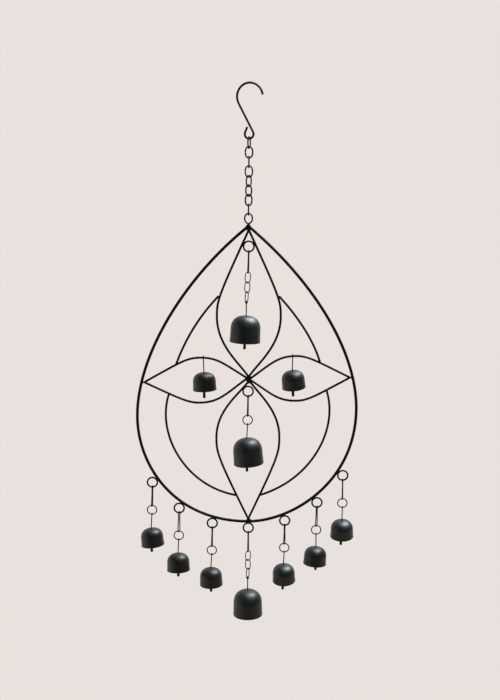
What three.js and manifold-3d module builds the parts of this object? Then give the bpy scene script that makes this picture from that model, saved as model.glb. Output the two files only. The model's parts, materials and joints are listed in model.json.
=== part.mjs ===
// A hanging wind chime of black iron wire: an S-hook, a chain of oval links, a teardrop frame that holds
// a flower of four wire petals, and eleven little dome bells on strings of links and rings.
// Millimetres, +Z up, +Y to the back. The origin is where the hook hangs: the inside of its bow.
import * as THREE from "three";
import { mergeVertices } from "three/addons/utils/BufferGeometryUtils.js";
import Module from "manifold-3d";

const wasm = await Module();
wasm.setup();

// ---------- Driving dimensions ----------
const GAP = 0.3; // clearance between two pieces that touch
const DEGREE = Math.PI / 180;

// Wire diameters
const HOOK_WIRE = 2.6;
const CHAIN_WIRE = 2.0;
const FRAME_WIRE = 4.0;
const PETAL_WIRE = 3.0;
const RING_WIRE = 2.2;
const THIN_WIRE = 1.4; // drop links, small rings and bell stems
const FINE_WIRE = 1.1; // small chain links
const CLAPPER_ROD = 4.0;

// S-hook: an elliptical bow, a straight shank and a round lower eye
const BOW = { rx: 17.8, rz: 18.8, tipAngle: 8, shankAngle: 210 };
const HOOK_EYE = { x: -1.1, radius: 6.25, depth: 68.2, leaveAngle: 156, lip: 8 };

// Oval links: centreline length and width, and how square the oval is (2 is an ellipse)
const CHAIN_LINK = { length: 15.53, width: 10.2, squareness: 2.3 };
const EYE_LINK = { length: 14.1, width: 10.9, squareness: 2.0 };
const DROP_LINK = { length: 32.8, topWidth: 4.8, bottomWidth: 6.2 };
const SMALL_LINK = { length: 15.5, width: 8.2, squareness: 2.7 };
// How far each chain link is turned about the vertical, from the hook down
const CHAIN_TURNS = [71, 0, 90, -8, 47, -38, 25, 90];
const SMALL_LINK_TURNS = [25, -28, 60];
const DROP_LINK_TURN = 78;
const CHAIN_SWAY = 0.5; // how far the chain leans from plumb, towards -X

// Rings: centreline radius
const WELDED_RING = 7.4;
const THIN_RING = 7;

// Teardrop frame, measured from its apex. Each side has a widest point and the reach of its curve
// towards the apex, above the widest point, below it and along the bottom.
const TEARDROP_DEPTH = 442.2;
const TEARDROP_SIDES = [
  { widest: [-163.5, -281.7], apexReach: [-90.6, -72.2], above: 94.1, below: 73.5, bottom: -111.4 },
  { widest: [158.1, -269.3], apexReach: [96.6, -81.2], above: 84.7, below: 115.8, bottom: 61 },
];
// Rings welded under the frame: how far along X from the apex each one touches it
const RING_FEET = [-134.9, -98, -51.7, -0.5, 50.4, 95.8, 131.5];
const WELD_SINK = 0.25; // how deep a ring sinks into the wire it is welded to
const WELD_BEAD = 3.2; // diameter of the bead where a ring is welded on
const CORNER_WELD = 5; // diameter of the lump of weld at the frame's top and bottom
const TOP_RING_WELD_ANGLE = 24.6; // where the top ring is welded to the petal, above its middle

// Petals, measured from the frame's apex: outer tip, tip at the flower's centre, half width on each side,
// and the place of the widest point as a share of the length
const TALL = { outer: 0.453, outerRise: 0.965, above: 0.108, below: 0.199, inner: 0.096, innerRise: 0.293 };
const WIDE = { outer: 0.35, outerRise: 0.809, above: 0.12, below: 0.185, inner: 0.216, innerRise: 0.657 };
const PETALS = [
  { outerTip: [0.4, -5.2], innerTip: [0.1, -219], halves: [45.8, 46.2], widest: 0.584, shape: TALL },
  { outerTip: [-0.6, -438.2], innerTip: [1.1, -224.3], halves: [45, 47.9], widest: 0.593, shape: TALL },
  { outerTip: [-152.3, -227.1], innerTip: [-1.8, -221], halves: [34.1, 33.4], widest: 0.538, shape: WIDE },
  { outerTip: [147.9, -220.1], innerTip: [1.1, -222.6], halves: [33.5, 33.6], widest: 0.537, shape: WIDE },
];
const TOP_RING = [0.35, -28.7]; // ring in the top petal's point
const CENTRE_RING = [-0.7, -240.8]; // ring under the flower's centre
const CENTRE_WELD = { x: 0.3, depth: 222.8, width: 7.5, height: 13 };

// Arcs between neighbouring petals: the four control points of each
const ARCS = {
  upper_left_arc: [[-45.2, -102.3], [-71, -130.1], [-90, -160.4], [-104.2, -197.2]],
  upper_right_arc: [[46, -102.5], [70.7, -130.1], [92.6, -162.1], [103, -194.5]],
  lower_left_arc: [[-117.1, -246.6], [-135.7, -306.8], [-94.7, -384.7], [-21.4, -400.2]],
  lower_right_arc: [[114.6, -241.5], [131.8, -297.6], [95.6, -373.7], [20.4, -399.4]],
};

// Bells: rim radius, height, height of the dome, wall, and how far the clapper shows below the rim
const SMALL_BELL = { radius: 17.1, height: 26, dome: 14.5, wall: 1.2 };
const LARGE_BELL = { radius: 22.1, height: 38.5, dome: 21, wall: 1.4 };
const DOME_SQUARENESS = 2.45;
const WALL_FLARE = 0.02; // how much the wall widens from the dome to the rim, as a share of the radius
const RIM_BEAD = 0.5;
const STAPLE = 1.8; // centreline radius of the small loop inside a bell
const SIDE_BELL_X = [-65.5, 64.2]; // from the apex

// How the pieces hang, in degrees: sway turns one in the frame's plane and lean turns it out of that plane.
// A bell's stem is a bent wire, so the bell hangs at another angle than its stem. The stem is measured
// from the wire it hangs on to the bell's crown, and the clapper from the bell's rim to its lower end.
// The first number is the place in RING_FEET of the ring that a string hangs on.
const RING_STRINGS = [
  [0, { sway: 2.2, stem: 22.4, stemSway: 4.3, bellSway: -5.5, bellLean: -4.5, clapper: 11.3 }],
  [1, { sway: 2, stem: 22, stemSway: 3.6, bellSway: -1.5, bellLean: -6, clapper: 11 }],
  [2, { sway: 1.6, stem: 22.4, stemSway: 4, bellSway: -1, bellLean: -0.5, clapper: 11.8 }],
  [4, { sway: 0.7, stem: 21.7, stemSway: 2.6, bellSway: -2.5, bellLean: 7.5, clapper: 13 }],
  [5, { sway: 1, stem: 20.7, stemSway: -0.5, bellSway: 4, bellLean: -2.5, clapper: 10.6 }],
  [6, { sway: -0.4, stem: 21.1, stemSway: 0.5, bellSway: -1, bellLean: 7, clapper: 12.4 }],
];
const MIDDLE_STRING = { sway: 1, stem: 21.2, stemSway: 3.5, bellSway: -4.5, bellLean: -0.5, clapper: 12.5 };
const TOP_STRING = {
  drop: 33, sway: 3.4, stem: 19.3, stemSway: 1, bellSway: 2.8, bellLean: -2.5, clapper: 11,
};
const LOW_STRING = {
  drop: 33.3, sway: 0.9, stem: 20.5, stemSway: 0.5, bellSway: -0.6, bellLean: -1, clapper: 7,
};
const LEFT_BELL = { stem: 21.9, stemSway: -1.4, bellSway: -2.5, bellLean: -2, clapper: 12.4 };
const RIGHT_BELL = { stem: 21.8, stemSway: 1.2, bellSway: -6, bellLean: 5, clapper: 12.4 };
// The drop links that have turned further round than the others, and the clappers that don't hang plumb
const OPEN_DROP_LINKS = { string_2: 64, string_5: 70, string_6: 62 };
const CLAPPER_SWAYS = { string_4: -1.8, string_5: 1.7, string_7: 1.9, top: 3, right: -1.7 };

// ---------- Materials ----------
const metal = (color, roughness) => new THREE.MeshStandardMaterial({ color, roughness, metalness: 0.6 });
const WIRE_BLACK = metal(0x161514, 0.6);
const LINK_BLACK = metal(0x24211f, 0.55);
const BELL_BLACK = metal(0x262b2c, 0.45);

// ---------- Solids ----------
const point = ([x, z]) => new THREE.Vector3(x, 0, z);

// A closed solid from a geometry: shared vertices merged, slivers dropped, faces pointing out
function solid(geometry) {
  const bare = geometry.clone();
  bare.deleteAttribute("normal");
  bare.deleteAttribute("uv");
  const merged = mergeVertices(bare, 1e-4);
  const index = merged.index.array;
  const triangles = [];
  for (let i = 0; i < index.length; i += 3) {
    const [a, b, c] = index.subarray(i, i + 3);
    if (a !== b && b !== c && c !== a) triangles.push(a, b, c);
  }
  const build = (corners) =>
    new wasm.Manifold(
      new wasm.Mesh({
        numProp: 3,
        vertProperties: merged.attributes.position.array,
        triVerts: new Uint32Array(corners),
      }),
    );
  const made = build(triangles);
  return made.volume() > 0 ? made : build(triangles.reverse());
}

const join = (solids) => solids.reduce((all, next) => all.add(next));

function geometryOf(made) {
  const { numProp, vertProperties, triVerts } = made.getMesh();
  const position = new Float32Array((vertProperties.length / numProp) * 3);
  for (let i = 0; i < position.length / 3; i++)
    position.set(vertProperties.subarray(i * numProp, i * numProp + 3), i * 3);
  const geometry = new THREE.BufferGeometry();
  geometry.setAttribute("position", new THREE.BufferAttribute(position, 3));
  geometry.setIndex(new THREE.BufferAttribute(triVerts, 1));
  geometry.computeVertexNormals();
  return geometry;
}

function circleShape(diameter, sides) {
  const corner = (i) => {
    const angle = ((i + 0.5) / sides) * 2 * Math.PI;
    return new THREE.Vector2(Math.cos(angle), Math.sin(angle)).multiplyScalar(diameter / 2);
  };
  return new THREE.Shape(Array.from({ length: sides }, (_, i) => corner(i)));
}

// An open wire with flat ends
function wire(curves, diameter, steps, sides = 6) {
  const path = new THREE.CurvePath();
  curves.forEach((curve) => path.add(curve));
  const options = { steps, bevelEnabled: false, extrudePath: path };
  return solid(new THREE.ExtrudeGeometry(circleShape(diameter, sides), options));
}

// A wire bent into a closed loop that turns at each of the points
function loop(points, diameter, sides = 6) {
  const curve = new THREE.CatmullRomCurve3(points, true);
  curve.getPointAt = curve.getPoint;
  curve.getTangentAt = curve.getTangent;
  return solid(new THREE.TubeGeometry(curve, points.length, diameter / 2, sides, true));
}

function ball(diameter, at) {
  return solid(new THREE.SphereGeometry(diameter / 2, 8, 6).translate(at.x, at.y, at.z));
}

// A round ring in the XZ plane
function ring(radius, diameter, at, steps = 14, sides = 6) {
  const geometry = new THREE.TorusGeometry(radius, diameter / 2, sides, steps);
  return solid(geometry.rotateX(Math.PI / 2).translate(at.x, at.y, at.z));
}

// Points of an oval in the XZ plane that hangs with the inside of its top at the origin's wire
function ovalPoints({ length, width, squareness }, top, count = 16) {
  return Array.from({ length: count }, (_, i) => {
    const angle = (i / count) * 2 * Math.PI;
    const bend = (value) => Math.sign(value) * Math.abs(value) ** (2 / squareness);
    const x = (width / 2) * bend(Math.sin(angle));
    return new THREE.Vector3(x, 0, top - length / 2 + (length / 2) * bend(Math.cos(angle)));
  });
}

// Points of a long narrow link that is a little wider at its lower end
function dropLinkPoints(top, length) {
  const { topWidth, bottomWidth } = DROP_LINK;
  const end = (width, centre, from) =>
    Array.from({ length: 7 }, (_, i) => {
      const angle = (from + i * 30) * DEGREE;
      return new THREE.Vector3((width / 2) * Math.sin(angle), 0, centre + (width / 2) * Math.cos(angle));
    });
  const upper = end(topWidth, top - topWidth / 2, -90);
  const lower = end(bottomWidth, top - length + bottomWidth / 2, 90);
  return [...upper, ...lower];
}

// ---------- Scene graph ----------
const chime = new THREE.Group();

// Hangs a piece from a pivot: its own origin is the centre of the wire it hangs on.
// Gives back the point that lies `drop` below the pivot along the piece.
function hang(name, made, material, pivot, { lean = 0, sway = 0, turn = 0 }, drop = 0) {
  const mesh = new THREE.Mesh(geometryOf(made), material);
  mesh.name = name;
  mesh.position.copy(pivot);
  mesh.rotation.set(lean * DEGREE, sway * DEGREE, turn * DEGREE);
  chime.add(mesh);
  return new THREE.Vector3(0, 0, -drop).applyEuler(mesh.rotation).add(pivot);
}

// Height of a hanging loop's top above the centre of the wire that carries it
const lift = (carrier, own) => carrier / 2 + own / 2 + GAP;

// S-hook
function arcPoints(centre, rx, rz, from, to, count) {
  return Array.from({ length: count + 1 }, (_, i) => {
    const angle = (from + ((to - from) * i) / count) * DEGREE;
    return point([centre[0] + rx * Math.cos(angle), centre[1] + rz * Math.sin(angle)]);
  });
}

function sHook() {
  const bowCentre = [0, HOOK_WIRE / 2 - BOW.rz];
  const eyeCentre = [HOOK_EYE.x, -HOOK_EYE.depth];
  const { radius, leaveAngle, lip } = HOOK_EYE;
  const bow = arcPoints(bowCentre, BOW.rx, BOW.rz, BOW.tipAngle, BOW.shankAngle, 16);
  const shankTop = bow[bow.length - 1];
  // the shank meets the lower eye along a tangent
  const reach = point(eyeCentre).sub(shankTop);
  const tangentAngle = Math.asin(radius / reach.length());
  const shankAngle = Math.atan2(reach.z, reach.x) + tangentAngle;
  const eyeStart = shankAngle / DEGREE + 90;
  const eye = arcPoints(eyeCentre, radius, radius, eyeStart, leaveAngle - 360, 14);
  const lipAngle = (leaveAngle - 90) * DEGREE;
  const last = eye[eye.length - 1];
  const tip = new THREE.Vector3(last.x + lip * Math.cos(lipAngle), 0, last.z + lip * Math.sin(lipAngle));
  const middle = shankTop.clone().lerp(eye[0], 0.5);
  const curve = new THREE.CatmullRomCurve3([...bow, middle, ...eye, tip]);
  return wire([curve], HOOK_WIRE, 46);
}
hang("s_hook", sHook(), WIRE_BLACK, point([0, 0]), {});

// Chain
let pivot = point([HOOK_EYE.x, -HOOK_EYE.depth - HOOK_EYE.radius]);
CHAIN_TURNS.forEach((turn, i) => {
  const top = lift(i === 0 ? HOOK_WIRE : CHAIN_WIRE, CHAIN_WIRE);
  const link = loop(ovalPoints(CHAIN_LINK, top), CHAIN_WIRE);
  const drop = CHAIN_LINK.length - top;
  pivot = hang(`chain_link_${i + 1}`, link, LINK_BLACK, pivot, { sway: CHAIN_SWAY, turn }, drop);
});

// Frame: the eye hangs on the last link, and the apex is welded under it
const eyeTop = lift(CHAIN_WIRE, CHAIN_WIRE);
hang("hanging_eye", loop(ovalPoints(EYE_LINK, eyeTop), CHAIN_WIRE), LINK_BLACK, pivot, {});
const apexZ = pivot.z + eyeTop - EYE_LINK.length - lift(CHAIN_WIRE, CORNER_WELD);
const apex = point([pivot.x, apexZ]);
const fromApex = ([x, z]) => point([x, z]).add(apex);
const bezier = (points) => new THREE.CubicBezierCurve3(...points.map(fromApex));

const teardrop = TEARDROP_SIDES.map(({ widest: [x, z], apexReach, above, below, bottom }) => [
  bezier([[0, 0], apexReach, [x, z + above], [x, z]]),
  bezier([[x, z], [x, z - below], [bottom, -TEARDROP_DEPTH], [0, -TEARDROP_DEPTH]]),
]);

// A ring welded under the frame: where it touches, and its centre straight out from the wire at X = footX
function weldedRing(footX) {
  const lower = teardrop[footX < 0 ? 0 : 1][1];
  let low = 0;
  let high = 1;
  for (let i = 0; i < 40; i++) {
    const middle = (low + high) / 2;
    if (Math.abs(lower.getPoint(middle).x - apex.x) > Math.abs(footX)) low = middle;
    else high = middle;
  }
  const foot = lower.getPoint(low);
  const along = lower.getTangent(low);
  const outward = new THREE.Vector3(along.z, 0, -along.x).multiplyScalar(Math.sign(along.x) || 1);
  if (outward.z > 0) outward.negate();
  const touch = foot.clone().addScaledVector(outward, FRAME_WIRE / 2);
  const centre = touch.clone().addScaledVector(outward, WELDED_RING + RING_WIRE / 2 - WELD_SINK);
  return { touch, centre };
}
const frameRings = RING_FEET.map(weldedRing);

function outerFrame() {
  const sides = teardrop.map((curves) => wire(curves, FRAME_WIRE, 28, 8));
  const corners = [apex, fromApex([0, -TEARDROP_DEPTH])].map((at) => ball(CORNER_WELD, at));
  const rings = frameRings.map(({ centre }) => ring(WELDED_RING, RING_WIRE, centre));
  const beads = frameRings.map(({ touch }) => ball(WELD_BEAD, touch));
  return join([...sides, ...corners, ...rings, ...beads]);
}
hang("outer_frame", outerFrame(), WIRE_BLACK, point([0, 0]), {});

// A petal's two sides. Along it `u` runs from the outer tip to the inner one, and `v` is across.
function petalCurves({ outerTip, innerTip, halves, widest, shape }) {
  const start = new THREE.Vector2(...outerTip);
  const axis = new THREE.Vector2(...innerTip).sub(start);
  const length = axis.length();
  axis.normalize();
  const at = (u, v) => [start.x + axis.x * u - axis.y * v, start.y + axis.y * u + axis.x * v];
  return [-1, 1].map((side, i) => {
    const half = side * halves[i];
    const middle = widest * length;
    const outerHandle = at(shape.outer * length, shape.outerRise * half);
    const innerHandle = at(length - shape.inner * length, shape.innerRise * half);
    return [
      bezier([at(0, 0), outerHandle, at(middle - shape.above * length, half), at(middle, half)]),
      bezier([at(middle, half), at(middle + shape.below * length, half), innerHandle, at(length, 0)]),
    ];
  });
}
const petalSides = PETALS.map(petalCurves);
const topRing = fromApex(TOP_RING);
const centreRing = fromApex(CENTRE_RING);

function flower() {
  const petals = petalSides.flat().map((curves) => wire(curves, PETAL_WIRE, 22));
  const tips = PETALS.flatMap(({ outerTip, innerTip }) => [outerTip, innerTip]);
  const bends = tips.map((tip) => ball(PETAL_WIRE, fromApex(tip)));
  const rings = [topRing, centreRing].map((centre) => ring(WELDED_RING, RING_WIRE, centre));
  const { x, depth, width, height } = CENTRE_WELD;
  const blob = new THREE.SphereGeometry(0.5, 10, 8).scale(width, PETAL_WIRE * 1.2, height);
  const weld = solid(blob.translate(apex.x + x, 0, apexZ - depth));
  const beadAngle = TOP_RING_WELD_ANGLE * DEGREE;
  const ringBeads = [-1, 1].map((side) => {
    const reach = WELDED_RING + RING_WIRE / 2;
    const offset = point([side * reach * Math.cos(beadAngle), reach * Math.sin(beadAngle)]);
    return ball(WELD_BEAD, offset.add(topRing));
  });
  return join([...petals, ...bends, ...rings, ...ringBeads, weld]);
}
hang("flower", flower(), WIRE_BLACK, point([0, 0]), {});

for (const [name, points] of Object.entries(ARCS))
  hang(name, wire([bezier(points)], PETAL_WIRE, 14), WIRE_BLACK, point([0, 0]), {});

// ---------- Bells ----------
// Points down the outside or the inside of a dome of the given rim radius
function domePoints(radius, dome, offset, count) {
  return Array.from({ length: count + 1 }, (_, i) => {
    const angle = (i / count) * 90 * DEGREE;
    const across = Math.sin(angle) ** (2 / DOME_SQUARENESS);
    const down = 1 - Math.cos(angle) ** (2 / DOME_SQUARENESS);
    const shoulder = radius * (1 - WALL_FLARE) - offset;
    return new THREE.Vector2(shoulder * across, -offset - (dome - offset) * down);
  });
}

// The shell of a bell, with its crown at the origin
function shellSolid({ radius, height, dome, wall }) {
  const outside = domePoints(radius, dome, 0, 7);
  const inside = domePoints(radius, dome, wall, 5);
  const rim = [
    [radius, -height + 3 * RIM_BEAD],
    [radius + RIM_BEAD, -height + RIM_BEAD],
    [radius, -height],
    [radius - wall, -height],
  ].map(([x, y]) => new THREE.Vector2(x, y));
  const profile = [...outside, ...rim, ...inside.reverse()];
  profile[0].x = 0;
  profile[profile.length - 1].x = 0;
  return solid(new THREE.LatheGeometry(profile, 16).rotateX(Math.PI / 2));
}

// A small loop in the YZ plane
function eyelet(radius, at, turn = 0) {
  const geometry = new THREE.TorusGeometry(radius, THIN_WIRE / 2, 5, 10);
  return solid(geometry.rotateY(Math.PI / 2).rotateZ(turn * DEGREE).translate(at.x, at.y, at.z));
}

// A wire between two points, carried on by half a wire's width at each end
function straightWire(from, to) {
  const reach = to.clone().sub(from).setLength(THIN_WIRE / 2);
  return wire([new THREE.LineCurve3(from.clone().sub(reach), to.clone().add(reach))], THIN_WIRE, 1);
}

// A bell on a stem, with the wire it hangs on at the origin. That wire has the carrier's diameter and is
// turned from the X axis by `turn`. Gives the solid and the place the clapper hangs from.
function bellOnStem(bell, carrier, { stem, stemSway, bellSway, bellLean }, turn) {
  const eyeRadius = carrier / 2 + THIN_WIRE / 2 + GAP;
  const down = new THREE.Vector3(0, 0, -1);
  const alongStem = down.clone().applyEuler(new THREE.Euler(0, stemSway * DEGREE, 0));
  const tilt = new THREE.Euler(bellLean * DEGREE, bellSway * DEGREE, 0);
  const alongBell = down.clone().applyEuler(tilt);
  const crown = alongStem.clone().multiplyScalar(stem);
  const { x, y, z } = crown;
  const shell = shellSolid(bell).rotate([bellLean, bellSway, 0]).translate([x, y, z]);
  const stapleCentre = crown.clone().addScaledVector(alongBell, bell.wall + STAPLE * 0.5);
  const wires = [
    eyelet(eyeRadius, new THREE.Vector3(), turn),
    straightWire(alongStem.clone().multiplyScalar(eyeRadius), crown),
    eyelet(STAPLE, stapleCentre),
  ];
  const hinge = crown.clone().addScaledVector(alongBell, bell.wall + STAPLE * 1.5);
  return { made: join([shell, ...wires]), hinge };
}

// A clapper with its eye at the origin, reaching down by its length
function clapperSolid(length) {
  const eyeRadius = THIN_WIRE + GAP;
  const eye = new THREE.TorusGeometry(eyeRadius, THIN_WIRE / 2, 5, 10).rotateX(Math.PI / 2);
  const radius = CLAPPER_ROD / 2;
  const profile = [
    [0, -length],
    [radius - 0.6, -length],
    [radius, -length + 0.6],
    [radius, -eyeRadius - 2],
    [radius * 0.6, -eyeRadius - 0.3],
    [0, -eyeRadius],
  ].map(([x, y]) => new THREE.Vector2(x, y));
  const rod = new THREE.LatheGeometry(profile, 8).rotateX(Math.PI / 2);
  return join([eye, rod].map(solid));
}

// A bell on the wire at `at`, and its clapper, which hangs at its own angle inside it
function addBell(name, bell, carrier, at, pose, turn = 0) {
  const { made, hinge } = bellOnStem(bell, carrier, pose, turn);
  hang(`${name}_bell`, made, BELL_BLACK, at, {});
  const length = pose.stem + bell.height + pose.clapper + hinge.z;
  const sway = CLAPPER_SWAYS[name] ?? 0;
  hang(`${name}_clapper`, clapperSolid(length), WIRE_BLACK, hinge.add(at), { sway });
}

// ---------- Strings ----------
function addDropLink(name, ringAt, sway, length = DROP_LINK.length) {
  const top = lift(RING_WIRE, THIN_WIRE);
  const link = loop(dropLinkPoints(top, length), THIN_WIRE);
  const ringBottom = ringAt.clone().add(point([0, -WELDED_RING]));
  const turn = OPEN_DROP_LINKS[name] ?? DROP_LINK_TURN;
  return hang(`${name}_drop_link`, link, LINK_BLACK, ringBottom, { sway, turn }, length - top);
}

// Drop link, thin ring and bell
function addRingString(name, ringAt, bell, pose) {
  const linkEnd = addDropLink(name, ringAt, pose.sway);
  const top = lift(THIN_WIRE, THIN_WIRE);
  const thinRing = ring(THIN_RING, THIN_WIRE, point([0, top - THIN_RING]), 14, 5);
  const drop = 2 * THIN_RING - top;
  const ringEnd = hang(`${name}_ring`, thinRing, LINK_BLACK, linkEnd, { sway: pose.sway }, drop);
  addBell(name, bell, THIN_WIRE, ringEnd, pose);
}

// Drop link, three small chain links and a large bell
function addChainString(name, ringAt, pose) {
  const { drop, sway } = pose;
  let end = addDropLink(name, ringAt, sway / 2, drop);
  SMALL_LINK_TURNS.forEach((turn, i) => {
    const top = lift(i === 0 ? THIN_WIRE : FINE_WIRE, FINE_WIRE);
    const link = loop(ovalPoints(SMALL_LINK, top, 14), FINE_WIRE);
    const linkPose = { sway, turn };
    end = hang(`${name}_chain_link_${i + 1}`, link, LINK_BLACK, end, linkPose, SMALL_LINK.length - top);
  });
  addBell(name, LARGE_BELL, FINE_WIRE, end, pose, SMALL_LINK_TURNS[SMALL_LINK_TURNS.length - 1]);
}

for (const [place, pose] of RING_STRINGS)
  addRingString(`string_${place + 1}`, frameRings[place].centre, SMALL_BELL, pose);
addChainString("string_4", frameRings[3].centre, LOW_STRING);
addChainString("top", topRing, TOP_STRING);
addRingString("middle", centreRing, LARGE_BELL, MIDDLE_STRING);

// Side bells hang straight from the upper wires of the left and right petals
function onUpperWire(sides, fromApexX) {
  const x = apex.x + fromApexX;
  const upper = sides.reduce((a, b) => (a[0].v3.z > b[0].v3.z ? a : b));
  const points = upper.flatMap((curve) => curve.getPoints(200));
  return points.reduce((best, p) => (Math.abs(p.x - x) < Math.abs(best.x - x) ? p : best));
}
addBell("left", SMALL_BELL, PETAL_WIRE, onUpperWire(petalSides[2], SIDE_BELL_X[0]), LEFT_BELL);
addBell("right", SMALL_BELL, PETAL_WIRE, onUpperWire(petalSides[3], SIDE_BELL_X[1]), RIGHT_BELL);

export default chime;
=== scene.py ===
"""A hanging wind chime of black iron wire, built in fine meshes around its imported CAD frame.

Shapes are worked out in millimetres, in the row's frame, and turned to metres when a mesh is made.
Where a piece hangs, and which way, comes from the frame's joints.
"""

import json
import math

import bpy
import numpy as np
from mathutils import Matrix, Vector, noise

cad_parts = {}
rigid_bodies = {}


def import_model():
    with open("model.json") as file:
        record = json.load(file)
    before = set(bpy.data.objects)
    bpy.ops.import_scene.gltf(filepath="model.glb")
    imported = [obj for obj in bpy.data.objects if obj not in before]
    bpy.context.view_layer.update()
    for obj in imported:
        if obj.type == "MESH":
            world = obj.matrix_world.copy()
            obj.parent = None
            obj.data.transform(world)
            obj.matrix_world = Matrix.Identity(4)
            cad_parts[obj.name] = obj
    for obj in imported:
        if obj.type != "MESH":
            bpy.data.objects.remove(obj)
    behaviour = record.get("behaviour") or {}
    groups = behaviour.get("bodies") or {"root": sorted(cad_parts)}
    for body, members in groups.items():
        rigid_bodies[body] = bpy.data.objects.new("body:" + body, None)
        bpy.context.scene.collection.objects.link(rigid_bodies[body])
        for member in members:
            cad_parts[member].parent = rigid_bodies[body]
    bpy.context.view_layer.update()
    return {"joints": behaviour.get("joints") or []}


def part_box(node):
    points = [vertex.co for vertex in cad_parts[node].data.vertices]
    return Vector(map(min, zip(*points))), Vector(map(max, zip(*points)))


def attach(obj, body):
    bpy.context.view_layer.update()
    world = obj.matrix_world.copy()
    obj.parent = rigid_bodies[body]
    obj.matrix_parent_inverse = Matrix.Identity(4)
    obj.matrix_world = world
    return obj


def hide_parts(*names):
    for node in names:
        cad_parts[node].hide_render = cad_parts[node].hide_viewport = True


MM = 0.001
GAP = 0.3  # clearance between two wires that hang on each other

# Wire diameters
HOOK_WIRE = 2.6
CHAIN_WIRE = 2.0
FRAME_WIRE = 4.0
PETAL_WIRE = 3.0
RING_WIRE = 2.2
THIN_WIRE = 1.4
FINE_WIRE = 1.1
CLAPPER_ROD = 4.0
# Paint on each side of a bare wire
WIRE_COAT = 0.15
LINK_COAT = 0.12
# The hook has the most paint, and the chain links that sit closest to their neighbours the least
OWN_COATS = {
    "s_hook_wire": 0.24,
    "chain_link_1_wire": 0.05,
    "chain_link_4_wire": 0.05,
    "chain_link_5_wire": 0.05,
}

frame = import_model()
# The joint that each body hangs on, and a joint of what hangs on it
JOINTS = {joint["child"]: joint for joint in frame["joints"]}
CHILDREN = {joint["parent"]: joint for joint in frame["joints"]}


def box_mm(node):
    """A node's lowest and highest corners, in millimetres."""
    low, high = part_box(node)
    return low / MM, high / MM


# ---------- Camera, lights and backdrop ----------
AIM = Vector((0.1, 0, -374.6))
CAMERA_DISTANCE = 1500
CAMERA_PITCH = 12
CAMERA_LENS = 53.2
SEEN_ROOM = (0.82, 0.755, 0.725, 1)
ROOM_TINT = (0.9, 0.95, 1, 1)
ROOM_LIGHT = 0.06
# Each light's place, size, power, colour and aim, in metres and watts
LIGHTS = {
    "key": ((0.7, 0.42, 1.0), (1.0, 1.0), 140, (0.88, 0.95, 1.0), (0, 0, -0.4)),
    "left": ((-1.8, 0.1, -0.3), (3.2, 2.2), 19, (1.0, 1.0, 0.97), (0, 0.1, -0.4)),
    "front": ((0.9, -1.8, 0.9), (1.4, 1.0), 3, (1.0, 0.98, 0.96), (0, 0, -0.4)),
}


def make_camera():
    data = bpy.data.cameras.new("camera")
    data.lens = CAMERA_LENS
    data.sensor_width = 36
    data.clip_start = 0.05
    data.clip_end = 50
    camera = bpy.data.objects.new("camera", data)
    bpy.context.scene.collection.objects.link(camera)
    pitch = math.radians(CAMERA_PITCH)
    back = Vector((0, -math.cos(pitch), math.sin(pitch)))
    camera.location = (AIM + back * CAMERA_DISTANCE) * MM
    camera.rotation_euler = (math.radians(90 - CAMERA_PITCH), 0, 0)
    bpy.context.scene.camera = camera


def area_light(name, location, size, energy, color, target):
    data = bpy.data.lights.new(name, "AREA")
    data.shape = "RECTANGLE"
    data.size, data.size_y = size
    data.energy = energy
    data.color = color
    light = bpy.data.objects.new(name, data)
    bpy.context.scene.collection.objects.link(light)
    light.location = location
    direction = Vector(target) - Vector(location)
    light.rotation_euler = direction.to_track_quat("-Z", "Y").to_euler()
    light.visible_camera = False


def make_world():
    """A pale room for the camera, and a darker one to light the chime, so that its front stays black.

    What the camera sees past the backdrop is as pale as the backdrop.
    """
    world = bpy.data.worlds.new("world")
    bpy.context.scene.world = world
    world.use_nodes = True
    tree = world.node_tree
    seen = tree.nodes["Background"]
    seen.inputs["Color"].default_value = SEEN_ROOM
    lit = tree.nodes.new("ShaderNodeBackground")
    lit.inputs["Color"].default_value = ROOM_TINT
    lit.inputs["Strength"].default_value = ROOM_LIGHT
    path = tree.nodes.new("ShaderNodeLightPath")
    mix = tree.nodes.new("ShaderNodeMixShader")
    tree.links.new(path.outputs["Is Camera Ray"], mix.inputs["Fac"])
    tree.links.new(lit.outputs["Background"], mix.inputs[1])
    tree.links.new(seen.outputs["Background"], mix.inputs[2])
    tree.links.new(mix.outputs["Shader"], tree.nodes["World Output"].inputs["Surface"])


def make_lights():
    for name, settings in LIGHTS.items():
        area_light(name, *settings)


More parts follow.
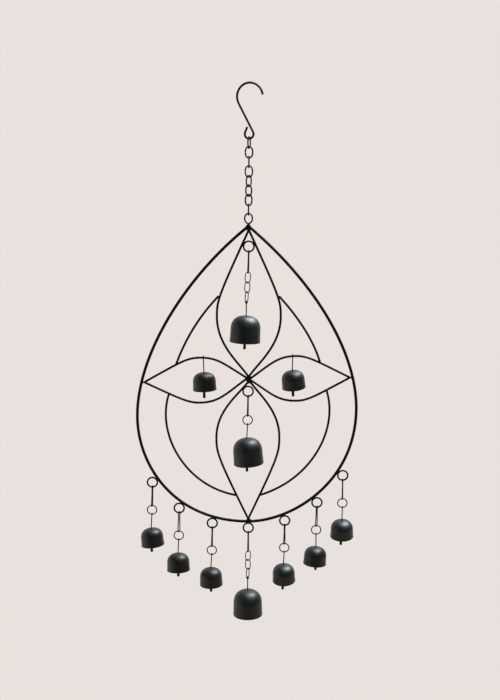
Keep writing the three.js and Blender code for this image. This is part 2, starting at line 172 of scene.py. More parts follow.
# ---------- Materials ----------
class Nodes:
    """Adds nodes to a new material and links them."""

    def __init__(self, name):
        self.material = bpy.data.materials.new(name)
        self.material.use_nodes = True
        self.tree = self.material.node_tree
        self.shader = self.tree.nodes["Principled BSDF"]
        self.coordinates = self.add("ShaderNodeTexCoord")

    def add(self, kind, **settings):
        node = self.tree.nodes.new(kind)
        for key, value in settings.items():
            if hasattr(node, key):
                setattr(node, key, value)
            else:
                node.inputs[key.replace("_", " ")].default_value = value
        return node

    def link(self, source, target):
        self.tree.links.new(source, target)

    def noise(self, scale, detail=3.0, roughness=0.5, stretch=(1, 1, 1)):
        """Noise over the row's frame, in bumps per metre."""
        mapping = self.add("ShaderNodeMapping")
        mapping.inputs["Scale"].default_value = stretch
        self.link(self.coordinates.outputs["Object"], mapping.inputs["Vector"])
        texture = self.add("ShaderNodeTexNoise")
        texture.inputs["Scale"].default_value = scale
        texture.inputs["Detail"].default_value = detail
        texture.inputs["Roughness"].default_value = roughness
        self.link(mapping.outputs["Vector"], texture.inputs["Vector"])
        return texture.outputs["Fac"]

    def ramp(self, value, stops):
        """stops is a list of (position, grey or (r, g, b))."""
        node = self.add("ShaderNodeValToRGB")
        elements = node.color_ramp.elements
        while len(elements) < len(stops):
            elements.new(0.5)
        for element, (position, color) in zip(elements, stops):
            element.position = position
            color = (color,) * 3 if isinstance(color, float) else color
            element.color = (*color, 1)
        self.link(value, node.inputs["Fac"])
        return node.outputs["Color"]

    def mix(self, share, first, second):
        node = self.add("ShaderNodeMix", data_type="RGBA")
        self.link(share, node.inputs["Factor"])
        self.link(first, node.inputs["A"])
        self.link(second, node.inputs["B"])
        return node.outputs["Result"]

    def bump(self, height, distance, strength=1.0, normal=None):
        node = self.add("ShaderNodeBump")
        node.inputs["Distance"].default_value = distance
        node.inputs["Strength"].default_value = strength
        self.link(height, node.inputs["Height"])
        if normal is not None:
            self.link(normal, node.inputs["Normal"])
        return node.outputs["Normal"]


def painted_wire(name, dark, light, worn, roughness):
    """Thin paint over drawn wire: a slightly uneven coat, with fine specks where it has rubbed.

    The coat runs from a dark tone to a lighter one, worn is the specks' colour, and roughness
    is the lowest and highest.
    """
    nodes = Nodes(name)
    patches = nodes.noise(90, detail=4)
    coat = nodes.ramp(patches, [(0.35, dark), (0.7, light)])
    specks = nodes.noise(1500, detail=5, roughness=0.65)
    rubbed = nodes.ramp(specks, [(0.68, 0.0), (0.78, 1.0)])
    worn_color = nodes.ramp(patches, [(0.3, worn), (0.8, tuple(0.7 * c for c in worn))])
    nodes.link(nodes.mix(rubbed, coat, worn_color), nodes.shader.inputs["Base Color"])
    low, high = roughness
    sheen = nodes.ramp(nodes.noise(400), [(0.3, low), (0.75, high)])
    nodes.link(sheen, nodes.shader.inputs["Roughness"])
    nodes.shader.inputs["Specular IOR Level"].default_value = 0.12
    nodes.shader.inputs["Specular Tint"].default_value = (1, 0.8, 0.64, 1)
    coarse = nodes.bump(nodes.noise(500, detail=3), 0.0001, 0.35)
    fine = nodes.bump(nodes.noise(4000, detail=2), 0.00002, 0.3, coarse)
    nodes.link(fine, nodes.shader.inputs["Normal"])
    return nodes.material


def bell_finish():
    """Charcoal satin paint on pressed iron, with faint streaks down the wall."""
    nodes = Nodes("satin_bell")
    patches = nodes.noise(60, detail=5, roughness=0.6)
    coat = nodes.ramp(patches, [(0.3, (0.0042, 0.0056, 0.0054)), (0.72, (0.0085, 0.0105, 0.0100))])
    streaks = nodes.noise(260, detail=3, stretch=(1, 1, 0.12))
    tint = nodes.ramp(streaks, [(0.35, (0.0045, 0.0055, 0.0052)), (0.75, (0.011, 0.012, 0.0115))])
    share = nodes.ramp(nodes.noise(25), [(0.35, 0.25), (0.7, 0.75)])
    nodes.link(nodes.mix(share, coat, tint), nodes.shader.inputs["Base Color"])
    roughness = nodes.ramp(nodes.noise(140, detail=4), [(0.3, 0.42), (0.75, 0.5)])
    nodes.link(roughness, nodes.shader.inputs["Roughness"])
    nodes.shader.inputs["Specular IOR Level"].default_value = 0.32
    coarse = nodes.bump(nodes.noise(90, detail=2), 0.0003, 0.08)
    fine = nodes.bump(nodes.noise(1200, detail=2), 0.00001, 0.2, coarse)
    nodes.link(fine, nodes.shader.inputs["Normal"])
    return nodes.material


def backdrop_finish():
    """A pale surface that shows its own tone, whatever light falls on it."""
    nodes = Nodes("backdrop")
    tones = [(0.3, (0.815, 0.752, 0.723)), (0.7, (0.823, 0.756, 0.727))]
    tone = nodes.ramp(nodes.noise(0.6, detail=1), tones)
    nodes.link(tone, nodes.shader.inputs["Emission Color"])
    nodes.shader.inputs["Emission Strength"].default_value = 1
    nodes.shader.inputs["Base Color"].default_value = (0, 0, 0, 1)
    nodes.shader.inputs["Specular IOR Level"].default_value = 0
    nodes.shader.inputs["Roughness"].default_value = 1
    return nodes.material


WIRE = painted_wire(
    "matt_wire",
    dark=(0.0022, 0.0018, 0.0015),
    light=(0.0055, 0.0046, 0.0040),
    worn=(0.015, 0.012, 0.010),
    roughness=(0.45, 0.6),
)
LINK = painted_wire(
    "brown_link",
    dark=(0.0030, 0.0022, 0.0018),
    light=(0.0075, 0.0058, 0.0048),
    worn=(0.028, 0.022, 0.018),
    roughness=(0.42, 0.56),
)
WELD = painted_wire(
    "weld_bead",
    dark=(0.0025, 0.0024, 0.0022),
    light=(0.0065, 0.0062, 0.0058),
    worn=(0.02, 0.018, 0.016),
    roughness=(0.32, 0.45),
)
BELL = bell_finish()


# ---------- Mesh pieces ----------
END_EDGE = 0.22  # rounding of a cut wire's end, as a share of its radius
UNEVENNESS = 0.012  # how much a wire's radius varies along it
BEAD_SWELLS = ((0.16, 1.7, 0.31), (0.05, 5, 0.17))  # height, fineness and shift of a bead's lumps


def add_piece(name, vertices, faces, material, body, matrix=None, replaces=None):
    """A smooth mesh piece from points in millimetres, placed by a matrix in millimetres."""
    mesh = bpy.data.meshes.new(name)
    mesh.from_pydata([tuple(v) for v in vertices], [], faces)
    if matrix is not None:
        mesh.transform(matrix)
    mesh.transform(Matrix.Scale(MM, 4))
    mesh.materials.append(material)
    mesh.shade_smooth()
    mesh.validate()
    piece = bpy.data.objects.new(name, mesh)
    bpy.context.scene.collection.objects.link(piece)
    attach(piece, body)
    if replaces:
        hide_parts(replaces)
    return piece


def resample(points, spacing, closed=False):
    """Points at an even spacing along a line through the given ones."""
    line = np.array(points, float)
    if closed:
        line = np.vstack([line, line[:1]])
    steps = np.linalg.norm(np.diff(line, axis=0), axis=1)
    along = np.concatenate([[0], np.cumsum(steps)])
    count = max(4, int(round(along[-1] / spacing)))
    places = np.linspace(0, along[-1], count + 1)
    even = np.column_stack([np.interp(places, along, line[:, k]) for k in range(line.shape[1])])
    return even[:-1] if closed else even


def smoothed(points, passes, closed=False):
    """Rounds the corners of a line; the ends of an open line stay."""
    line = np.array(points, float)
    for _ in range(passes):
        if closed:
            line = 0.25 * np.roll(line, 1, 0) + 0.5 * line + 0.25 * np.roll(line, -1, 0)
        else:
            line[1:-1] = 0.25 * line[:-2] + 0.5 * line[1:-1] + 0.25 * line[2:]
    return line


def sweep(path, diameter, closed, sides, seed):
    """A wire along a path: vertices and faces. Open ends are cut square with a small rounded edge."""
    path = np.array(path, float)
    count = len(path)
    if closed:
        tangents = np.roll(path, -1, 0) - np.roll(path, 1, 0)
    else:
        tangents = np.gradient(path, axis=0)
    tangents /= np.linalg.norm(tangents, axis=1)[:, None]
    across = np.cross(tangents, (0, 1, 0))
    flat = np.linalg.norm(across, axis=1) < 1e-3
    across[flat] = (1, 0, 0)
    across /= np.linalg.norm(across, axis=1)[:, None]
    upward = np.cross(across, tangents)
    rows = []
    radius = diameter / 2
    rings = [(i, 0.0, 1.0) for i in range(count)]
    if not closed:
        lip = [(0.0, 1 - END_EDGE), (0.3 * END_EDGE, 1 - 0.3 * END_EDGE), (END_EDGE, 1.0)]
        first = [(0, push * radius, share) for push, share in lip]
        last = [(count - 1, -push * radius, share) for push, share in reversed(lip)]
        rings = first + rings[1:-1] + last
    angles = np.linspace(0, 2 * math.pi, sides, endpoint=False)
    for i, push, share in rings:
        place = path[i] + tangents[i] * push
        rough = 1 + UNEVENNESS * noise.noise(Vector((seed, i * 0.13, seed * 0.7)))
        turn = np.outer(np.cos(angles), across[i]) + np.outer(np.sin(angles), upward[i])
        rows.append(place + turn * radius * share * rough)
    vertices = np.vstack(rows)
    total = len(rows)
    faces = []
    for i in range(total if closed else total - 1):
        j = (i + 1) % total
        for k in range(sides):
            m = (k + 1) % sides
            faces.append((i * sides + k, j * sides + k, j * sides + m, i * sides + m))
    if not closed:
        faces.append(tuple(range(sides)))
        faces.append(tuple((total - 1) * sides + k for k in reversed(range(sides))))
    return vertices, faces


def wire_piece(
    name, path, diameter, material, body, matrix=None, replaces=None, closed=False, sides=14
):
    """A coated wire along a path. Its unevenness differs with its name."""
    seed = sum(ord(letter) for letter in name) * 0.37
    coat = OWN_COATS.get(name, LINK_COAT if material is LINK else WIRE_COAT)
    vertices, faces = sweep(path, diameter + 2 * coat, closed, sides, seed)
    return add_piece(name, vertices, faces, material, body, matrix, replaces)


def bead_piece(name, centre, size):
    """A lump of weld on the frame: a ball stretched in X, Y and Z, with a hand-run surface."""
    rows, columns = 18, 28
    vertices, faces = [], []
    for i in range(rows + 1):
        polar = math.pi * i / rows
        for j in range(columns):
            turn = 2 * math.pi * j / columns
            across = math.sin(polar)
            direction = Vector((across * math.cos(turn), across * math.sin(turn), math.cos(polar)))
            swell = 1
            for height, fineness, shift in BEAD_SWELLS:
                swell += height * noise.noise(direction * fineness + Vector(centre) * shift)
            vertices.append([centre[k] + direction[k] * size[k] / 2 * swell for k in range(3)])
    for i in range(rows):
        above, below = i * columns, (i + 1) * columns
        for j in range(columns):
            k = (j + 1) % columns
            faces.append((above + j, below + j, below + k, above + k))
    return add_piece(name, vertices, faces, WELD, "frame")


# ---------- Paths ----------
def bezier(p0, p1, p2, p3, count):
    """Points in the XZ plane along a cubic curve from its four (x, z) control points."""
    t = np.linspace(0, 1, count)[:, None]
    p0, p1, p2, p3 = (np.array(p, float) for p in (p0, p1, p2, p3))
    flat = (1 - t) ** 3 * p0 + 3 * (1 - t) ** 2 * t * p1 + 3 * (1 - t) * t * t * p2 + t**3 * p3
    return np.column_stack([flat[:, 0], np.zeros(count), flat[:, 1]])


def arc(centre, rx, rz, start, stop, count):
    """Points in the XZ plane round an ellipse, from one angle in degrees to another."""
    angles = np.radians(np.linspace(start, stop, count))
    x = centre[0] + rx * np.cos(angles)
    z = centre[1] + rz * np.sin(angles)
    return np.column_stack([x, np.zeros(count), z])


def oval(length, width, squareness, top, count=240):
    """A closed oval in the XZ plane with its highest centreline point at z = top."""
    angles = np.linspace(0, 2 * math.pi, count, endpoint=False)

    def bend(value):
        return np.sign(value) * np.abs(value) ** (2 / squareness)

    x = width / 2 * bend(np.sin(angles))
    z = top - length / 2 + length / 2 * bend(np.cos(angles))
    return np.column_stack([x, np.zeros(count), z])


SEAM = 0.07  # the gap between a link's two ends
SEAM_STEP = 0.25  # spacing of the points along a link


def with_seam(path, share):
    """Opens a closed path with a narrow gap a share of the way round, as where a link's ends meet."""
    even = resample(path, SEAM_STEP, closed=True)
    even = np.roll(even, -int(share * len(even)), 0)
    cut = even[0] + (even[-1] - even[0]) * (1 - SEAM / SEAM_STEP)
    return np.vstack([even, cut])


# ---------- Hanging pieces ----------
DOWN = Vector((0, 0, -1))


def pivot(body):
    """Where a body hangs from its parent, in millimetres."""
    return Vector(JOINTS[body]["pos_m"]) / MM


def lift(carrier, own):
    """Height of a hanging loop's top above the centre of the wire that carries it."""
    return carrier / 2 + own / 2 + GAP


def wire_angle(body):
    """The angle about Z of a link's own plane, from the hinge of the body that hangs on it."""
    axis = CHILDREN[body]["axis"]
    return math.atan2(axis[1], axis[0])


def tilt_to(direction):
    """The turn that takes straight down to a direction."""
    return DOWN.rotation_difference(direction).to_matrix().to_4x4()


def hung(body):
    """Places a piece that hangs from its body's pivot to the next one, turned as its link is."""
    here, there = pivot(body), pivot(CHILDREN[body]["child"])
    turn = Matrix.Rotation(wire_angle(body), 4, "Z")
    return Matrix.Translation(here) @ tilt_to(there - here) @ turn


def drop_of(body):
    """Distance from a body's pivot to the pivot of what hangs on it."""
    return (pivot(CHILDREN[body]["child"]) - pivot(body)).length


# ---------- S-hook ----------
# The bow is part of an ellipse, from the tip's angle to the shank's. The eye is part of a circle,
# which the lip leaves at an angle of its own. Angles are in degrees, up from +X.
BOW = {"rx": 17.8, "rz": 18.8, "tip": 8, "shank": 210}
HOOK_EYE = {"x": -1.1, "radius": 6.25, "depth": 68.2, "leave": 156, "lip": 8}


def s_hook():
    """One wire: the bow, a straight shank to the eye, the eye, and a short straight lip."""
    bow = arc((0, HOOK_WIRE / 2 - BOW["rz"]), BOW["rx"], BOW["rz"], BOW["tip"], BOW["shank"], 90)
    radius = HOOK_EYE["radius"]
    centre = np.array([HOOK_EYE["x"], 0, -HOOK_EYE["depth"]])
    reach = centre - bow[-1]
    shank = math.atan2(reach[2], reach[0]) + math.asin(radius / np.linalg.norm(reach))
    start = math.degrees(shank) + 90
    stop = HOOK_EYE["leave"] - 360
    eye = arc((HOOK_EYE["x"], -HOOK_EYE["depth"]), radius, radius, start, stop, 80)
    lip = math.radians(HOOK_EYE["leave"] - 90)
    tip = eye[-1] + HOOK_EYE["lip"] * np.array([math.cos(lip), 0, math.sin(lip)])
    path = smoothed(resample(np.vstack([bow, eye, tip]), 0.6), 14)
    wire_piece("s_hook_wire", path, HOOK_WIRE, WIRE, "hook", replaces="s_hook", sides=20)


# ---------- Chain ----------
CHAIN_LINK = {"length": 15.53, "width": 10.2, "squareness": 2.2}
EYE_LINK = {"length": 14.1, "width": 10.9, "squareness": 2.0}


def chain():
    """Eight links and the eye on the frame. Neighbouring links have their seams on opposite sides."""
    for i in range(1, 9):
        body = f"chain_link_{i}"
        top = lift(HOOK_WIRE if i == 1 else CHAIN_WIRE, CHAIN_WIRE)
        path = with_seam(oval(**CHAIN_LINK, top=top), 0.25 if i % 2 else 0.75)
        wire_piece(f"{body}_wire", path, CHAIN_WIRE, LINK, body, hung(body), body)
    top = lift(CHAIN_WIRE, CHAIN_WIRE)
    path = with_seam(oval(**EYE_LINK, top=top), 0.5)
    place = Matrix.Translation(pivot("frame"))
    wire_piece("hanging_eye_wire", path, CHAIN_WIRE, LINK, "frame", place, "hanging_eye")


# ---------- Teardrop, petals and arcs ----------
# All are measured in X and Z from the teardrop's apex. The teardrop, the petals and the arcs have the
# CAD's own dimensions. Their values come from a fit, so they aren't round.
CORNER_WELD = 5
APEX = Vector((pivot("frame").x, 0, box_mm("outer_frame")[1].z - CORNER_WELD / 2))
AT_APEX = Matrix.Translation(APEX)
TEARDROP_DEPTH = 442.2
# Each side is two curves that meet at its widest point. apex_reach is the upper one's handle at the
# apex, above and below are how far the handles at the widest point stand off it, and bottom is how
# far along X the lower one's handle at the foot is.
TEARDROP_SIDES = [
    {
        "widest": (-163.5, -281.7),
        "apex_reach": (-90.6, -72.2),
        "above": 94.1,
        "below": 73.5,
        "bottom": -111.4,
    },
    {
        "widest": (158.1, -269.3),
        "apex_reach": (96.6, -81.2),
        "above": 84.7,
        "below": 115.8,
        "bottom": 61,
    },
]
WELDED_RING = 7.4
TOP_RING_WELD_ANGLE = 24.6
TOP_RING_WELD_REACH = 8.6
# Where the handles of a petal's two curves are: outer, above, below and inner are shares of its
# length, and rise and inner_rise are shares of its half width
TALL = {
    "outer": 0.453,
    "rise": 0.965,
    "above": 0.108,
    "below": 0.199,
    "inner": 0.096,
    "inner_rise": 0.293,
}
WIDE = {
    "outer": 0.35,
    "rise": 0.809,
    "above": 0.12,
    "below": 0.185,
    "inner": 0.216,
    "inner_rise": 0.657,
}
# The outer and inner tips, the half width on each side, and how far along a petal is widest
PETALS = {
    "top": {
        "tips": ((0.4, -5.2), (0.1, -219)),
        "halves": (45.8, 46.2),
        "widest": 0.584,
        "shape": TALL,
    },
    "bottom": {
        "tips": ((-0.6, -438.2), (1.1, -224.3)),
        "halves": (45, 47.9),
        "widest": 0.593,
        "shape": TALL,
    },
    "left": {
        "tips": ((-152.3, -227.1), (-1.8, -221)),
        "halves": (34.1, 33.4),
        "widest": 0.538,
        "shape": WIDE,
    },
    "right": {
        "tips": ((147.9, -220.1), (1.1, -222.6)),
        "halves": (33.5, 33.6),
        "widest": 0.537,
        "shape": WIDE,
    },
}
# Each arc is one cubic curve, given by its control points
ARCS = {
    "upper_left_arc": ((-45.2, -102.3), (-71, -130.1), (-90, -160.4), (-104.2, -197.2)),
    "upper_right_arc": ((46, -102.5), (70.7, -130.1), (92.6, -162.1), (103, -194.5)),
    "lower_left_arc": ((-117.1, -246.6), (-135.7, -306.8), (-94.7, -384.7), (-21.4, -400.2)),
    "lower_right_arc": ((114.6, -241.5), (131.8, -297.6), (95.6, -373.7), (20.4, -399.4)),
}
ARC_REACH = 1.9  # how far each end of an arc runs on into its weld
OUTER_STRINGS = [f"string_{i}" for i in range(1, 8)]
# The size of each kind of weld bead in X, Y and Z
RING_BEAD = (4.6, 2.9, 3.0)
TOP_RING_BEAD = (2.6, 2.4, 3.0)
ARC_BEAD = (3.5, 3.1, 3.4)
PETAL_BEAD = (3.4, 3.4, 3.4)
PETAL_BEAD_REACH = 1.8  # from a side petal's tip towards the teardrop
# The welds with a place of their own: the place and the size
CENTRE = Vector((0.3, 0, -222.8))
SINGLE_BEADS = {
    "centre_weld": (CENTRE, (7.9, 4.6, 13)),
    "centre_weld_front": (CENTRE + Vector((0.6, -1.2, 0.8)), (4.6, 3.2, 5.2)),
    "apex_weld": (Vector((0, 0, -2.2)), (8.6, 5.4, 9.6)),
    "bottom_weld": (Vector((0, 0, -TEARDROP_DEPTH + 1.6)), (8, 5, 6)),
    "eye_weld": (Vector((0, 0, 3.1)), (3.8, 3.4, 3.2)),
}


def teardrop_half(side):
    """One side of the teardrop, from the apex to the foot."""
    x, z = side["widest"]
    bottom_handle = (side["bottom"], -TEARDROP_DEPTH)
    upper = bezier((0, 0), side["apex_reach"], (x, z + side["above"]), (x, z), 200)
    lower = bezier((x, z), (x, z - side["below"]), bottom_handle, (0, -TEARDROP_DEPTH), 200)
    return np.vstack([upper, lower[1:]])


def teardrop_path():
    left, right = (teardrop_half(side) for side in TEARDROP_SIDES)
    return resample(np.vstack([left, right[-2:0:-1]]), 1.5, closed=True)


def petal_path(petal):
    """One bent wire, from the flower's centre to the outer tip and back along the other side."""
    start, stop = (np.array(tip, float) for tip in petal["tips"])
    length = np.linalg.norm(stop - start)
    axis = (stop - start) / length
    shape = petal["shape"]
    middle = petal["widest"] * length

    def at(u, v):
        return start + axis * u + np.array([-axis[1], axis[0]]) * v

    sides = []
    for sign, half in zip((-1, 1), petal["halves"]):
        half *= sign
        widest = at(middle, half)
        outer = at(shape["outer"] * length, shape["rise"] * half)
        above = at(middle - shape["above"] * length, half)
        below = at(middle + shape["below"] * length, half)
        inner = at(length - shape["inner"] * length, shape["inner_rise"] * half)
        first = bezier(at(0, 0), outer, above, widest, 120)
        second = bezier(widest, below, inner, at(length, 0), 120)
        sides.append(np.vstack([first, second[1:]]))
    return resample(np.vstack([sides[0][::-1], sides[1][1:]]), 1.2)


def arc_path(name):
    """An arc's curve, run on in a straight line at both ends."""
    curve = bezier(*ARCS[name], 120)
    first, last = curve[0] - curve[1], curve[-1] - curve[-2]
    start = curve[0] + first / np.linalg.norm(first) * ARC_REACH
    end = curve[-1] + last / np.linalg.norm(last) * ARC_REACH
    return resample(np.vstack([start, curve, end]), 0.8)


def nearest(path, point):
    """The point of a path that is nearest to a given one."""
    distance = np.linalg.norm(path - np.array(point), axis=1)
    return Vector(path[distance.argmin()])


def ring_centre(string):
    """The middle of the welded ring that a string's drop link hangs on."""
    return pivot(f"{string}_drop_link") + Vector((0, 0, WELDED_RING))


def welded_ring(name, string):
    path = arc((0, 0), WELDED_RING, WELDED_RING, 90, 450, 97)[:-1]
    place = Matrix.Translation(ring_centre(string))
    wire_piece(name, path, RING_WIRE, WIRE, "frame", place, closed=True)


def frame_wires():
    teardrop = smoothed(teardrop_path(), 3, closed=True)
    wire_piece(
        "outer_frame_wire",
        teardrop,
        FRAME_WIRE,
        WIRE,
        "frame",
        AT_APEX,
        "outer_frame",
        closed=True,
        sides=20,
    )
    placed_teardrop = teardrop + np.array(APEX)
    for string in OUTER_STRINGS:
        welded_ring(f"{string}_welded_ring", string)
        foot = nearest(placed_teardrop, ring_centre(string))
        outward = (ring_centre(string) - foot).normalized()
        bead_piece(f"{string}_weld", foot + outward * FRAME_WIRE * 0.5, RING_BEAD)
    for name, petal in PETALS.items():
        path = smoothed(petal_path(petal), 2)
        replaced = "flower" if name == "top" else None
        piece = f"{name}_petal_wire"
        wire_piece(piece, path, PETAL_WIRE, WIRE, "frame", AT_APEX, replaced, sides=18)
    for name in ARCS:
        path = arc_path(name)
        wire_piece(f"{name}_wire", path, PETAL_WIRE, WIRE, "frame", AT_APEX, name, sides=18)
    welded_ring("top_welded_ring", "top")
    welded_ring("centre_welded_ring", "middle")


def frame_welds():
    for name, (place, size) in SINGLE_BEADS.items():
        bead_piece(name, APEX + place, size)
    for name in ARCS:
        path = arc_path(name)
        for i, end in enumerate((path[0], path[-1])):
            bead_piece(f"{name}_weld_{i + 1}", APEX + Vector(end), ARC_BEAD)
    for name in ("left", "right"):
        x, z = PETALS[name]["tips"][0]
        reach = math.copysign(PETAL_BEAD_REACH, x)
        bead_piece(f"{name}_petal_weld", APEX + Vector((x + reach, 0, z)), PETAL_BEAD)
    angle = math.radians(TOP_RING_WELD_ANGLE)
    for name, side in (("left", -1), ("right", 1)):
        offset = Vector((side * math.cos(angle), 0, math.sin(angle))) * TOP_RING_WELD_REACH
        bead_piece(f"top_ring_weld_{name}", ring_centre("top") + offset, TOP_RING_BEAD)


# ---------- Bells ----------
SMALL_BELL = {"radius": 17.1, "height": 26, "dome": 14.5, "wall": 1.2}
LARGE_BELL = {"radius": 22.1, "height": 38.5, "dome": 21, "wall": 1.4}
DOME_SQUARENESS = 2.45  # 2 is an ellipse, and more is fuller in the shoulder
WALL_FLARE = 0.02  # how much the wall widens down to the rim, as a share of the radius
FLARE_CURVE = 1.6  # 1 is an even flare, and more leaves it to the end
RIM_BEAD = 0.5  # how far the rim's bead stands out
CROWN_CLEARANCE = 0.25  # between the crown's hole and the hanger through it
STAPLE = 1.8  # radius of the U inside a bell
SHELL_SIDES = 112
SHELL_WOBBLE = 0.006
ROD_SIDES = 32
ROD_WOBBLE = 0.012
# The bell, how far in degrees it sways in the frame's plane and leans out of it, and the wire that
# it hangs on
BELLS = {
    "string_1": (SMALL_BELL, -5.5, -4.5, THIN_WIRE),
    "string_2": (SMALL_BELL, -1.5, -6, THIN_WIRE),
    "string_3": (SMALL_BELL, -1, -0.5, THIN_WIRE),
    "string_4": (LARGE_BELL, -0.6, -1, FINE_WIRE),
    "string_5": (SMALL_BELL, -2.5, 7.5, THIN_WIRE),
    "string_6": (SMALL_BELL, 4, -2.5, THIN_WIRE),
    "string_7": (SMALL_BELL, -1, 7, THIN_WIRE),
    "top": (LARGE_BELL, 2.8, -2.5, FINE_WIRE),
    "middle": (LARGE_BELL, -4.5, -0.5, THIN_WIRE),
    "left": (SMALL_BELL, -2.5, -2, PETAL_WIRE),
    "right": (SMALL_BELL, -6, 5, PETAL_WIRE),
}
# The clappers that don't hang plumb
CLAPPER_SWAYS = {"string_4": -1.8, "string_5": 1.7, "string_7": 1.9, "top": 3, "right": -1.7}


def lathe(profile, segments, wobble, seed):
    """Turns a profile of (radius, z) points about Z. A point at radius 0 closes the end.

    The radius varies by the wobble, in a way that differs with the seed.
    """
    vertices, faces, rows = [], [], []
    for i, (radius, z) in enumerate(profile):
        if radius < 1e-6:
            rows.append([len(vertices)] * segments)
            vertices.append((0, 0, z))
            continue
        rows.append(range(len(vertices), len(vertices) + segments))
        for k in range(segments):
            turn = 2 * math.pi * k / segments
            place = Vector((math.cos(turn) * 0.9, math.sin(turn) * 0.9, z * 0.05 + seed))
            reach = radius * (1 + wobble * noise.noise(place))
            vertices.append((reach * math.cos(turn), reach * math.sin(turn), z))
    for low, high in zip(rows, rows[1:]):
        for k in range(segments):
            m = (k + 1) % segments
            corners = [low[k], low[m], high[m], high[k]]
            face = tuple(dict.fromkeys(corners))
            if len(face) > 2:
                faces.append(face)
    return vertices, faces


def dome_line(bell, offset, count):
    """Points (radius, z) from the crown to the foot of the dome, offset inwards."""
    angles = np.linspace(0, math.pi / 2, count)
    across = np.sin(angles) ** (2 / DOME_SQUARENESS)
    down = 1 - np.cos(angles) ** (2 / DOME_SQUARENESS)
    shoulder = bell["radius"] * (1 - WALL_FLARE) - offset
    return [(shoulder * a, -offset - (bell["dome"] - offset) * d) for a, d in zip(across, down)]


def shell_profile(bell):
    """From the crown's hole down the outside, round the rim's bead and up the inside to the hole."""
    radius, height, wall = bell["radius"], bell["height"], bell["wall"]
    hole = THIN_WIRE / 2 + CROWN_CLEARANCE
    outside = [point for point in dome_line(bell, 0, 34) if point[0] > hole + 0.3]
    inside = [point for point in dome_line(bell, wall, 26) if point[0] > hole + 0.3]
    base = -bell["dome"]
    shoulder = radius * (1 - WALL_FLARE)
    bead_top = -height + 2.4 * RIM_BEAD
    steps = np.linspace(0, 1, 10)[1:]
    flare = [(radius - shoulder) * s**FLARE_CURVE for s in steps]
    wall_out = [
        (shoulder + out, base + (bead_top + 0.6 - base) * s) for out, s in zip(flare, steps)
    ]
    bead = [
        (radius + RIM_BEAD * 0.05, bead_top),
        (radius + RIM_BEAD * 0.35, bead_top - 0.5),
        (radius + RIM_BEAD * 0.7, -height + 0.45),
        (radius + RIM_BEAD * 0.6, -height + 0.15),
        (radius + RIM_BEAD * 0.2, -height),
        (radius - wall * 0.75, -height),
        (radius - wall, -height + 0.3),
    ]
    inner_shoulder = shoulder - wall
    wall_in = [
        (inner_shoulder + out, base + (-height + 1.2 - base) * s) for out, s in zip(flare, steps)
    ]
    crown_out = [(hole, -0.25), (hole + 0.12, -0.06)]
    crown_in = [(hole + 0.12, -wall + 0.06), (hole, -wall + 0.25)]
    down = crown_out + outside + wall_out + bead
    return down + wall_in[::-1] + inside[::-1] + crown_in + [crown_out[0]]


def swayed(sway, lean):
    return Matrix.Rotation(math.radians(lean), 4, "X") @ Matrix.Rotation(math.radians(sway), 4, "Y")


def hanger_path(eye, length):
    """A wire in the XZ plane: an eye round the origin, and a straight stem below it."""
    loop = arc((0, 0), eye, eye, 240, -90, 60)
    stem = [(0, 0, -eye - 0.2), (0, 0, -length)]
    return smoothed(resample(np.vstack([loop, stem]), 0.3), 3)


def staple_path(depth):
    """A U of wire in the XZ plane whose lowest centreline point is `depth` below the crown."""
    bend = arc((0, -depth + STAPLE), STAPLE, STAPLE, 180, 360, 24)
    return resample(np.vstack([(-STAPLE, 0, -0.8), bend, (STAPLE, 0, -0.8)]), 0.3)


def bell(name):
    """A bell's shell, the hanger through its crown, the staple inside it, and its clapper."""
    shape, sway, lean, carrier = BELLS[name]
    body = f"{name}_bell"
    turn = swayed(sway, lean)
    depth = shape["wall"] + STAPLE * 1.5
    here, hinge = pivot(body), pivot(f"{name}_clapper")
    crown = hinge - (turn @ DOWN) * depth
    place = Matrix.Translation(crown) @ turn
    vertices, faces = lathe(shell_profile(shape), SHELL_SIDES, SHELL_WOBBLE, crown.x * 0.1)
    add_piece(f"{name}_bell_shell", vertices, faces, BELL, body, place, body)
    stem = crown - here
    axis = JOINTS[body]["axis"]
    across = Matrix.Rotation(math.atan2(axis[1], axis[0]) + math.pi / 2, 4, "Z")
    hanging = Matrix.Translation(here) @ tilt_to(stem) @ across
    path = hanger_path(lift(carrier, THIN_WIRE), stem.length + 1.0)
    wire_piece(f"{name}_bell_hanger", path, THIN_WIRE, LINK, body, hanging)
    quarter = Matrix.Rotation(math.pi / 2, 4, "Z")
    wire_piece(f"{name}_bell_staple", staple_path(depth), THIN_WIRE, LINK, body, place @ quarter)
    clapper(name, hinge)


def clapper(name, hinge):
    """A round rod as long as the CAD's, with soft ends, and the eye that it hangs by."""
    body = f"{name}_clapper"
    length = hinge.z - box_mm(body)[0].z
    radius = CLAPPER_ROD / 2
    eye = THIN_WIRE + GAP
    profile = [
        (0, -eye - 0.5),
        (radius * 0.45, -eye - 0.7),
        (radius * 0.8, -eye - 1.4),
        (radius * 0.97, -eye - 2.4),
        (radius, -eye - 3.4),
        (radius * 1.01, -(length + eye) * 0.5),
        (radius, -length + 0.7),
        (radius * 0.94, -length + 0.22),
        (radius * 0.78, -length),
        (0, -length),
    ]
    vertices, faces = lathe(profile, ROD_SIDES, ROD_WOBBLE, hinge.x * 0.07)
    sway = math.radians(CLAPPER_SWAYS.get(name, 0))
    place = Matrix.Translation(hinge) @ Matrix.Rotation(sway, 4, "Y")
    add_piece(f"{name}_clapper_rod", vertices, faces, WIRE, body, place, body)
    path = hanger_path(eye, eye + 1.6)
    wire_piece(f"{name}_clapper_eye", path, THIN_WIRE, LINK, body, place)


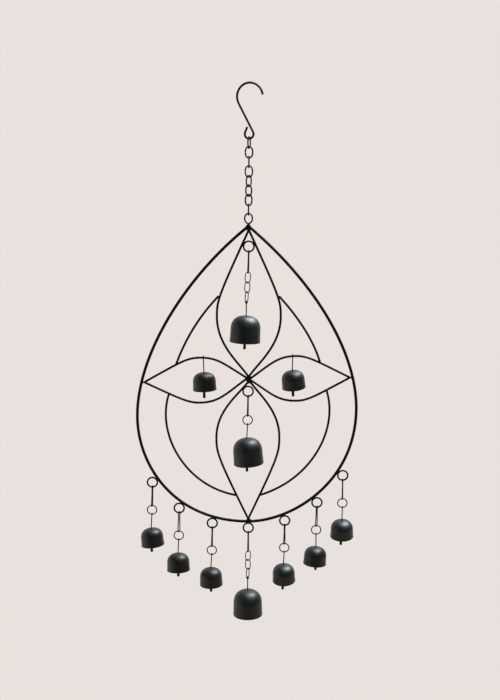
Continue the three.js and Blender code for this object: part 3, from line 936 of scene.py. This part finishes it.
# ---------- Strings ----------
DROP_ENDS = {"top": 2.4, "bottom": 3.1}  # radius of each round end
WAIST = {"share": 0.3, "half": 1.75}  # how far down a drop link it is pinched in, and to what
SMALL_LINK = {"length": 15.5, "width": 8.2, "squareness": 2.7}
THIN_RING = 7


def drop_link_path(top, length):
    """A long closed link: two round ends, with the sides pinched in a little under the upper one."""
    upper, lower = DROP_ENDS["top"], DROP_ENDS["bottom"]
    first = arc((0, top - upper), upper, upper, 200, -20, 30)
    second = arc((0, top - length + lower), lower, lower, 0, -180, 36)
    waist = top - WAIST["share"] * length
    right, left = ([side * WAIST["half"], 0, waist] for side in (1, -1))
    outline = np.vstack([first, right, second, left])
    return smoothed(resample(outline, 0.3, closed=True), 40, closed=True)


def drop_link(name):
    body = f"{name}_drop_link"
    top = lift(RING_WIRE, THIN_WIRE)
    path = with_seam(drop_link_path(top, drop_of(body) + top), 0.86)
    wire_piece(f"{body}_wire", path, THIN_WIRE, LINK, body, hung(body), body, sides=12)


def thin_ring(name):
    body = f"{name}_ring"
    top = lift(THIN_WIRE, THIN_WIRE)
    path = arc((0, top - THIN_RING), THIN_RING, THIN_RING, 90, 450, 160)[:-1]
    wire_piece(f"{body}_wire", with_seam(path, 0.34), THIN_WIRE, LINK, body, hung(body), body, sides=12)


def small_links(name):
    for i in (1, 2, 3):
        body = f"{name}_chain_link_{i}"
        top = lift(THIN_WIRE if i == 1 else FINE_WIRE, FINE_WIRE)
        path = with_seam(oval(**SMALL_LINK, top=top), 0.25)
        wire_piece(f"{body}_wire", path, FINE_WIRE, LINK, body, hung(body), body, sides=12)


def strings():
    linked = ("string_4", "top")
    for name in [*OUTER_STRINGS, "middle"]:
        if name not in linked:
            drop_link(name)
            thin_ring(name)
    for name in linked:
        drop_link(name)
        small_links(name)
    for name in BELLS:
        bell(name)


# ---------- Floor and backdrop ----------
def backdrop():
    """A pale floor that curves up into a wall behind the chime, in metres."""
    floor, top = -2.2, 4.5
    front, back = -4.0, 3.2
    half, bend, steps = 7.0, 1.2, 24
    line = [(front, floor)]
    for i in range(steps + 1):
        turn = math.pi / 2 * i / steps
        line.append((back - bend + bend * math.sin(turn), floor + bend - bend * math.cos(turn)))
    line.append((back, top))
    vertices = [(x, y, z) for y, z in line for x in (-half, half)]
    faces = [(2 * i, 2 * i + 1, 2 * i + 3, 2 * i + 2) for i in range(len(line) - 1)]
    mesh = bpy.data.meshes.new("backdrop")
    mesh.from_pydata(vertices, [], faces)
    mesh.materials.append(backdrop_finish())
    mesh.shade_smooth()
    piece = bpy.data.objects.new("backdrop", mesh)
    bpy.context.scene.collection.objects.link(piece)


make_camera()
make_world()
make_lights()
s_hook()
chain()
frame_wires()
frame_welds()
strings()
backdrop()
bpy.context.scene.view_settings.view_transform = "Standard"

bpy.context.view_layer.update()
